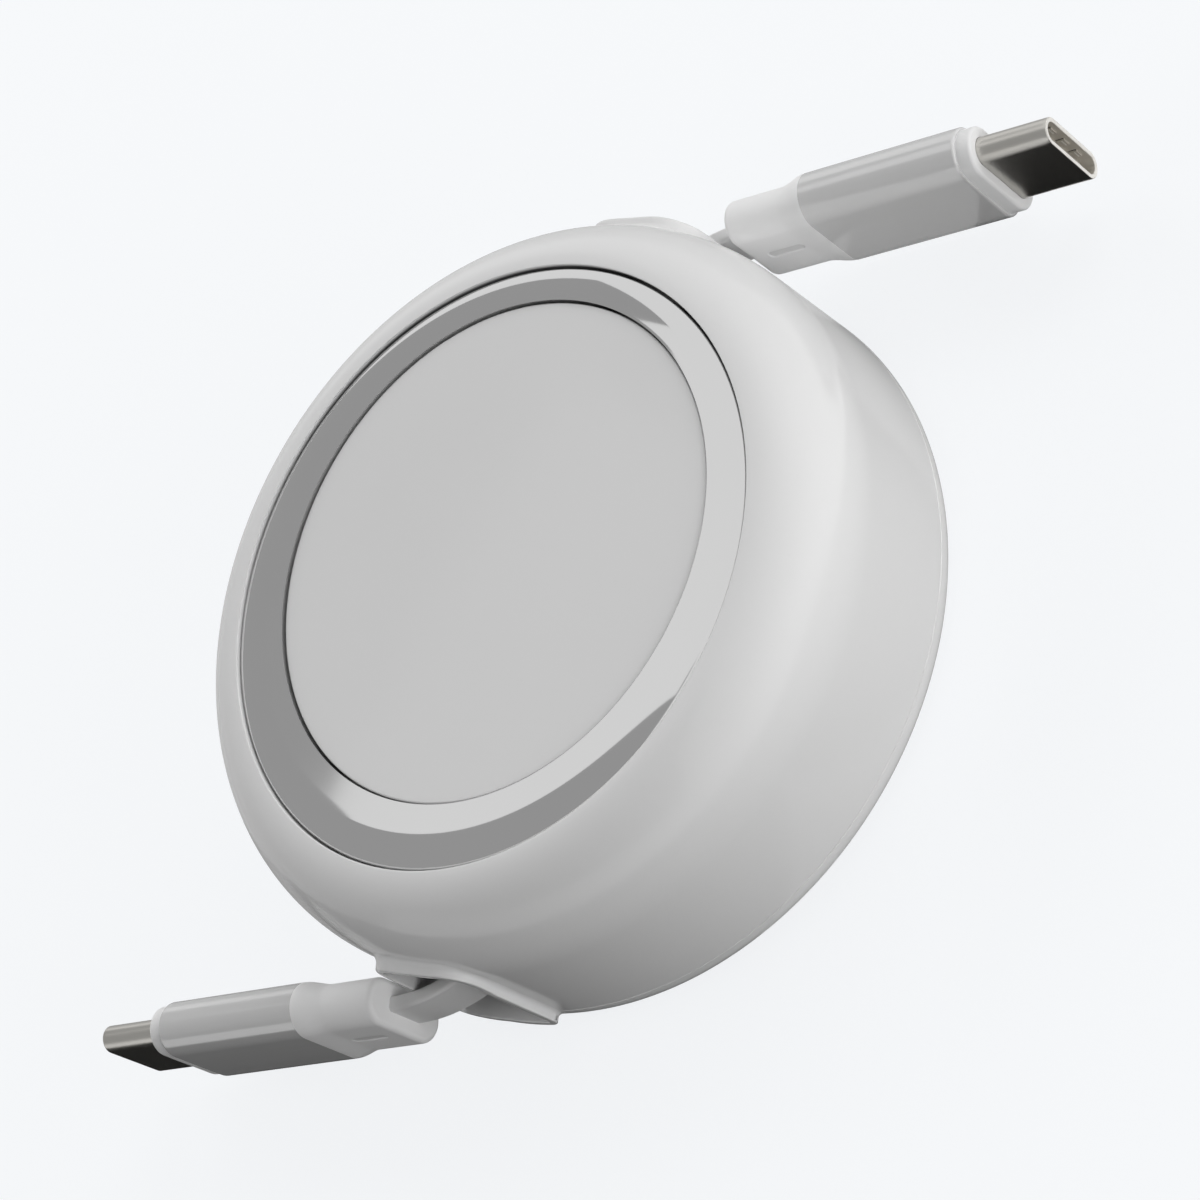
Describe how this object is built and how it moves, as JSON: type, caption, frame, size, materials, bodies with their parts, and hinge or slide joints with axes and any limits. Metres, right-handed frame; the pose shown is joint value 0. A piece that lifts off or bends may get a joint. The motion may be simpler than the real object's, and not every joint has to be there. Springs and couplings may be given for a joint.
{
  "type": "retractable charging cable",
  "caption": "Round puck with a spring reel that winds in a flat charging cable from both ends, so a reversible plug can be drawn out on either side together.",
  "frame": {"origin": "middle of the puck's back face", "axes": "+Z out of the front face along the reel's axis, +X the way the plug on the +Y side points and is drawn out"},
  "size_m": [0.0914, 0.0688, 0.0207],
  "materials": {
    "white_plastic": "matte",
    "gloss_plastic": "satin gloss",
    "polished_metal": "polished",
    "steel": "bright",
    "spring_steel": "blued",
    "natural_plastic": "natural",
    "grey_plastic": "matte",
    "cable_jacket": "matte",
    "soft_white": "matte",
    "satin_metal": "satin",
    "nickel": "polished",
    "dark_plastic": "matte",
    "contact_metal": "plated",
    "card": "coated"
  },
  "bodies": {
    "housing": {"front_shell": "white_plastic", "back_cover": "white_plastic", "trim_ring": "polished_metal", "front_disc": "gloss_plastic", "spring_arbor": "steel", "centre_screw": "steel", "thrust_washer": "natural_plastic", "pawl_pin": "steel", "cable_run_a": "cable_jacket", "cable_run_b": "cable_jacket"},
    "reel": {"reel_drum": "grey_plastic", "reel_flange": "grey_plastic", "cable_winding": "cable_jacket", "main_spring": "spring_steel"},
    "pawl": {"latch_pawl": "natural_plastic"},
    "plug_a": {"cable_lead_a": "cable_jacket", "boot_a": "soft_white", "sleeve_a": "satin_metal", "collar_a": "soft_white", "inner_mould_a": "natural_plastic", "paddle_card_a": "card", "plug_shell_a": "nickel", "insulator_a": "dark_plastic", "contacts_a": "contact_metal", "ground_springs_a": "nickel"},
    "plug_b": {"cable_lead_b": "cable_jacket", "boot_b": "soft_white", "sleeve_b": "satin_metal", "collar_b": "soft_white", "inner_mould_b": "natural_plastic", "paddle_card_b": "card", "plug_shell_b": "nickel", "insulator_b": "dark_plastic", "contacts_b": "contact_metal", "ground_springs_b": "nickel"}
  },
  "joints": [
    {"name": "reel_spin", "type": "hinge", "parent": "housing", "child": "reel", "pos_m": [0, 0, 0.0068], "axis": [0, 0, -1], "range_deg": [0, 1440], "stiffness_Nm_per_rad": 0.0006, "springref_deg": -1432.39},
    {"name": "plug_a_pull", "type": "slide", "parent": "housing", "child": "plug_a", "axis": [1, 0, 0], "range_m": [0, 0.4575]},
    {"name": "plug_b_pull", "type": "slide", "parent": "housing", "child": "plug_b", "axis": [-1, 0, 0], "range_m": [0, 0.4575]},
    {"name": "pawl_swing", "type": "hinge", "parent": "housing", "child": "pawl", "pos_m": [-0.0177, 0.009, 0.0125], "axis": [0, 0, -1], "range_deg": [0, 25]}
  ],
  "couplings": [
    {"joint": "plug_a_pull", "follows": "reel_spin", "m_per_rad": 0.0182},
    {"joint": "plug_b_pull", "follows": "reel_spin", "m_per_rad": 0.0182}
  ]
}
